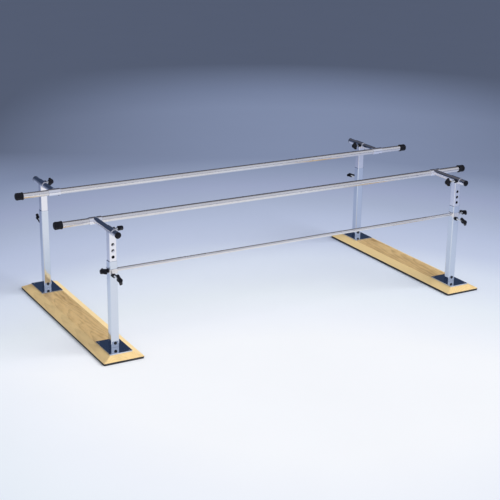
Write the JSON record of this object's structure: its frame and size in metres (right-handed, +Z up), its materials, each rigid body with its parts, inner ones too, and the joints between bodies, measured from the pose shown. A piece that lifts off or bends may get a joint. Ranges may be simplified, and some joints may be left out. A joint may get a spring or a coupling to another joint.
{
  "type": "portable parallel walking bars",
  "caption": "Free-standing rehab parallel bars: handrails on sliding round arms over telescoping square posts, with wooden floor boards and a lower rail on one side.",
  "frame": {"origin": "on the floor, centred between the four posts", "axes": "+X along the handrails to the right end, +Y across the walkway to the far rail, +Z up; the lower rail is on the -Y side"},
  "size_m": [3.0606, 1.473, 0.8],
  "materials": {
    "chrome": "polished chrome plate on steel tube",
    "rail_steel": "polished steel with a faint warm tint",
    "board_wood": "pale hardwood, clear satin lacquer, grain along the board",
    "mat_rubber": "matt black rubber sheet",
    "cap_rubber": "black moulded rubber, slight sheen",
    "plug_plastic": "black moulded plastic",
    "knob_plastic": "black moulded plastic",
    "black_steel": "black oxide steel",
    "stud_steel": "bright zinc-plated steel"
  },
  "bodies": {
    "floor_frame": {"left_board": "board_wood", "right_board": "board_wood", "left_floor_mat": "mat_rubber", "right_floor_mat": "mat_rubber", "near_left_base_plate": "chrome", "near_left_upright": "chrome", "near_left_foot_bolt": "black_steel", "near_right_base_plate": "chrome", "near_right_upright": "chrome", "near_right_foot_bolt": "black_steel", "far_left_base_plate": "chrome", "far_left_upright": "chrome", "far_left_foot_bolt": "black_steel", "far_right_base_plate": "chrome", "far_right_upright": "chrome", "far_right_foot_bolt": "black_steel"},
    "near_left_post": {"near_left_post": "chrome"},
    "near_left_height_clamp": {"near_left_height_knob": "knob_plastic", "near_left_height_stud": "stud_steel"},
    "near_left_width_clamp": {"near_left_width_knob": "knob_plastic", "near_left_width_stud": "stud_steel"},
    "near_right_post": {"near_right_post": "chrome"},
    "near_right_height_clamp": {"near_right_height_knob": "knob_plastic", "near_right_height_stud": "stud_steel"},
    "near_right_width_clamp": {"near_right_width_knob": "knob_plastic", "near_right_width_stud": "stud_steel"},
    "far_left_post": {"far_left_post": "chrome"},
    "far_left_height_clamp": {"far_left_height_knob": "knob_plastic", "far_left_height_stud": "stud_steel"},
    "far_left_width_clamp": {"far_left_width_knob": "knob_plastic", "far_left_width_stud": "stud_steel"},
    "far_right_post": {"far_right_post": "chrome"},
    "far_right_height_clamp": {"far_right_height_knob": "knob_plastic", "far_right_height_stud": "stud_steel"},
    "far_right_width_clamp": {"far_right_width_knob": "knob_plastic", "far_right_width_stud": "stud_steel"},
    "near_rail_set": {"near_handrail": "rail_steel", "near_left_arm": "chrome", "near_left_arm_plug": "plug_plastic", "near_left_set_screw": "black_steel", "near_left_rail_cap": "cap_rubber", "near_right_arm": "chrome", "near_right_arm_plug": "plug_plastic", "near_right_set_screw": "black_steel", "near_right_rail_cap": "cap_rubber"},
    "far_rail_set": {"far_handrail": "rail_steel", "far_left_arm": "chrome", "far_left_arm_plug": "plug_plastic", "far_left_set_screw": "black_steel", "far_left_rail_cap": "cap_rubber", "far_right_arm": "chrome", "far_right_arm_plug": "plug_plastic", "far_right_set_screw": "black_steel", "far_right_rail_cap": "cap_rubber"},
    "lower_rail": {"lower_rail": "chrome"},
    "lower_rail_left_clamp": {"lower_rail_left_knob": "knob_plastic", "lower_rail_left_stud": "stud_steel"},
    "lower_rail_right_clamp": {"lower_rail_right_knob": "knob_plastic", "lower_rail_right_stud": "stud_steel"}
  },
  "joints": [
    {"name": "near_left_post_slide", "type": "slide", "parent": "floor_frame", "child": "near_left_post", "axis": [0, 0, 1], "range_m": [-0.1524, 0.1905]},
    {"name": "near_right_post_slide", "type": "slide", "parent": "floor_frame", "child": "near_right_post", "axis": [0, 0, 1], "range_m": [-0.1524, 0.1905]},
    {"name": "far_left_post_slide", "type": "slide", "parent": "floor_frame", "child": "far_left_post", "axis": [0, 0, 1], "range_m": [-0.1524, 0.1905]},
    {"name": "far_right_post_slide", "type": "slide", "parent": "floor_frame", "child": "far_right_post", "axis": [0, 0, 1], "range_m": [-0.1524, 0.1905]},
    {"name": "near_rail_slide", "type": "slide", "parent": "near_left_post", "child": "near_rail_set", "axis": [0, 1, 0], "range_m": [-0.155, 0.045]},
    {"name": "far_rail_slide", "type": "slide", "parent": "far_left_post", "child": "far_rail_set", "axis": [0, 1, 0], "range_m": [-0.075, 0.125]},
    {"name": "lower_rail_slide", "type": "slide", "parent": "floor_frame", "child": "lower_rail", "axis": [0, 0, 1], "range_m": [0, 0.025]},
    {"name": "near_left_height_turn", "type": "hinge", "parent": "floor_frame", "child": "near_left_height_clamp", "pos_m": [-1.27, -0.6334, 0.5015], "axis": [0, -1, 0], "continuous": true},
    {"name": "near_left_width_turn", "type": "hinge", "parent": "near_left_post", "child": "near_left_width_clamp", "pos_m": [-1.21785, -0.553, 0.7708], "axis": [1, 0, 0], "continuous": true},
    {"name": "near_right_height_turn", "type": "hinge", "parent": "floor_frame", "child": "near_right_height_clamp", "pos_m": [1.27, -0.6334, 0.5015], "axis": [0, -1, 0], "continuous": true},
    {"name": "near_right_width_turn", "type": "hinge", "parent": "near_right_post", "child": "near_right_width_clamp", "pos_m": [1.21785, -0.603, 0.7708], "axis": [-1, 0, 0], "continuous": true},
    {"name": "far_left_height_turn", "type": "hinge", "parent": "floor_frame", "child": "far_left_height_clamp", "pos_m": [-1.27, 0.6334, 0.5015], "axis": [0, 1, 0], "continuous": true},
    {"name": "far_left_width_turn", "type": "hinge", "parent": "far_left_post", "child": "far_left_width_clamp", "pos_m": [-1.21785, 0.603, 0.7708], "axis": [1, 0, 0], "continuous": true},
    {"name": "far_right_height_turn", "type": "hinge", "parent": "floor_frame", "child": "far_right_height_clamp", "pos_m": [1.27, 0.6334, 0.5015], "axis": [0, 1, 0], "continuous": true},
    {"name": "far_right_width_turn", "type": "hinge", "parent": "far_right_post", "child": "far_right_width_clamp", "pos_m": [1.21785, 0.553, 0.7708], "axis": [-1, 0, 0], "continuous": true},
    {"name": "lower_rail_left_turn", "type": "hinge", "parent": "lower_rail", "child": "lower_rail_left_clamp", "pos_m": [-1.3287, -0.578, 0.5283], "axis": [-1, 0, 0], "continuous": true},
    {"name": "lower_rail_right_turn", "type": "hinge", "parent": "lower_rail", "child": "lower_rail_right_clamp", "pos_m": [1.3287, -0.578, 0.5283], "axis": [1, 0, 0], "continuous": true}
  ],
  "couplings": [
    {"joint": "near_right_post_slide", "follows": "near_left_post_slide", "ratio": 1},
    {"joint": "far_right_post_slide", "follows": "far_left_post_slide", "ratio": 1}
  ]
}
